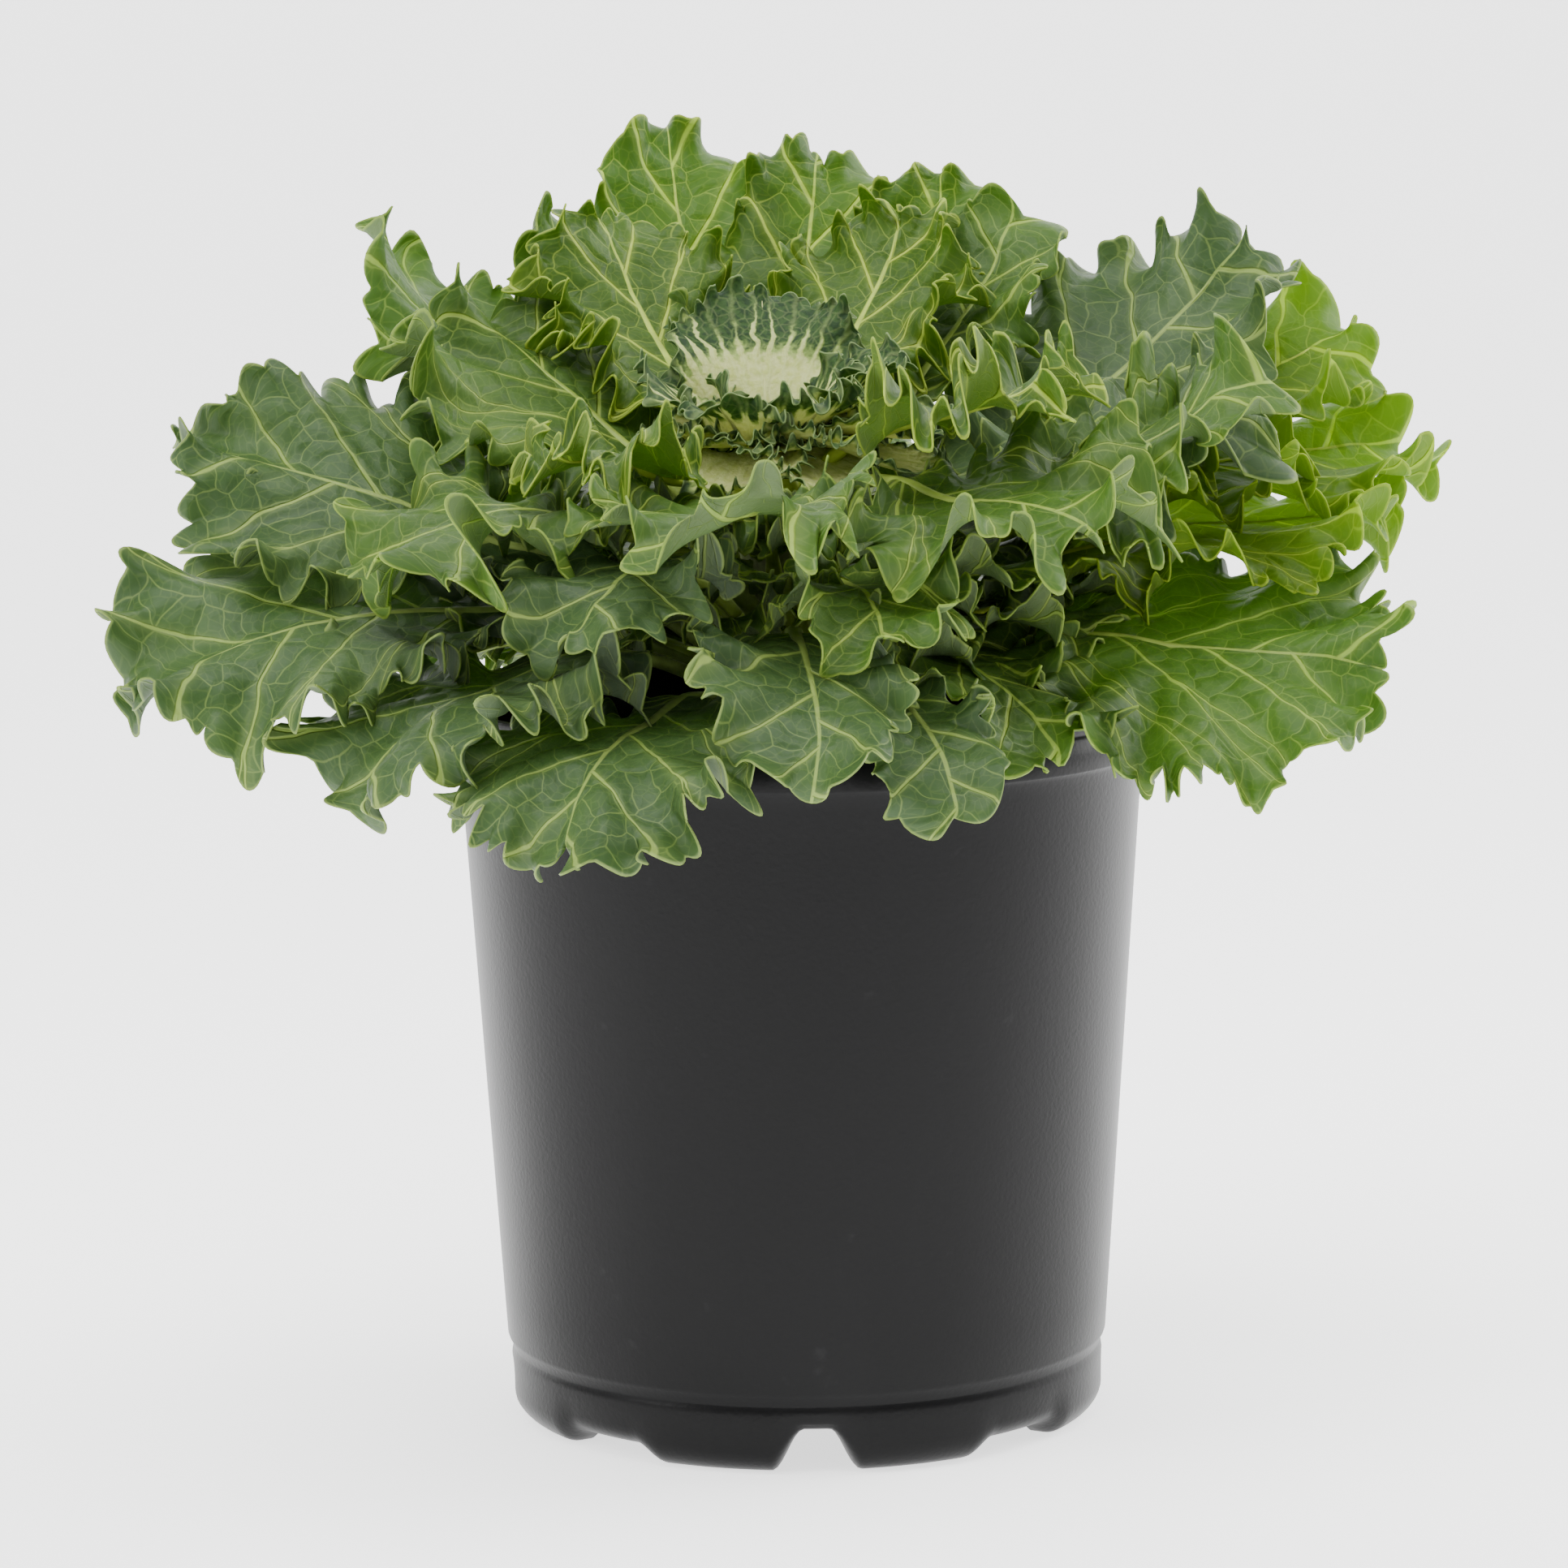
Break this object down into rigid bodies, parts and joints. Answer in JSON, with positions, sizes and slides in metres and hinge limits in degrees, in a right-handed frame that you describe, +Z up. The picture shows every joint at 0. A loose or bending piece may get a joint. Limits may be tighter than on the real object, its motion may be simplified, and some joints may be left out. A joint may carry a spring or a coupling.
{
  "type": "potted ornamental kale",
  "caption": "Ornamental kale with curled, waved green leaves round a cream frilled heart, standing in a round black nursery pot filled with soil.",
  "frame": {"origin": "middle of the pot's foot ring, on the surface that the pot stands on", "axes": "+Z up along the pot's axis, +X to the right and -Y to the front"},
  "size_m": [0.3235, 0.2719, 0.3066],
  "materials": {
    "black_plastic": "satin",
    "potting_soil": "matte",
    "stalk_green": "matte",
    "leaf_green": "satin",
    "leaf_bright": "satin",
    "heart_cream": "satin"
  },
  "bodies": {
    "root": {"nursery_pot": "black_plastic", "potting_soil": "potting_soil", "stalk": "stalk_green", "back_leaf_1": "leaf_green", "back_leaf_2": "leaf_green", "back_leaf_3": "leaf_green", "apron_leaf_left": "leaf_green", "drooping_leaf_left": "leaf_green", "drooping_leaf_right": "leaf_green", "apron_leaf_small": "leaf_green", "spread_leaf_left": "leaf_green", "spread_leaf_right": "leaf_bright", "apron_leaf_middle": "leaf_green", "back_leaf_4": "leaf_green", "back_leaf_5": "leaf_green", "side_leaf_left": "leaf_green", "side_leaf_right": "leaf_bright", "upper_leaf_right": "leaf_bright", "rear_leaf_left": "leaf_green", "rear_leaf_middle_left": "leaf_green", "rear_leaf_small_left": "leaf_green", "rear_leaf_middle_right": "leaf_green", "tall_leaf_right": "leaf_green", "side_leaf_inner_right": "leaf_green", "fan_leaf_small": "leaf_green", "rear_leaf_right": "leaf_green", "front_leaf_low": "leaf_green", "front_leaf_left": "leaf_green", "front_leaf_outer_left": "leaf_green", "front_leaf_right": "leaf_green", "front_leaf_wide_right": "leaf_green", "front_leaf_middle": "leaf_green", "tall_leaf_left": "leaf_green", "inner_leaf_left": "leaf_green", "fan_leaf_left": "leaf_green", "fan_leaf_right": "leaf_green", "inner_leaf_right": "leaf_green", "heart": "heart_cream"}
  },
  "joints": []
}
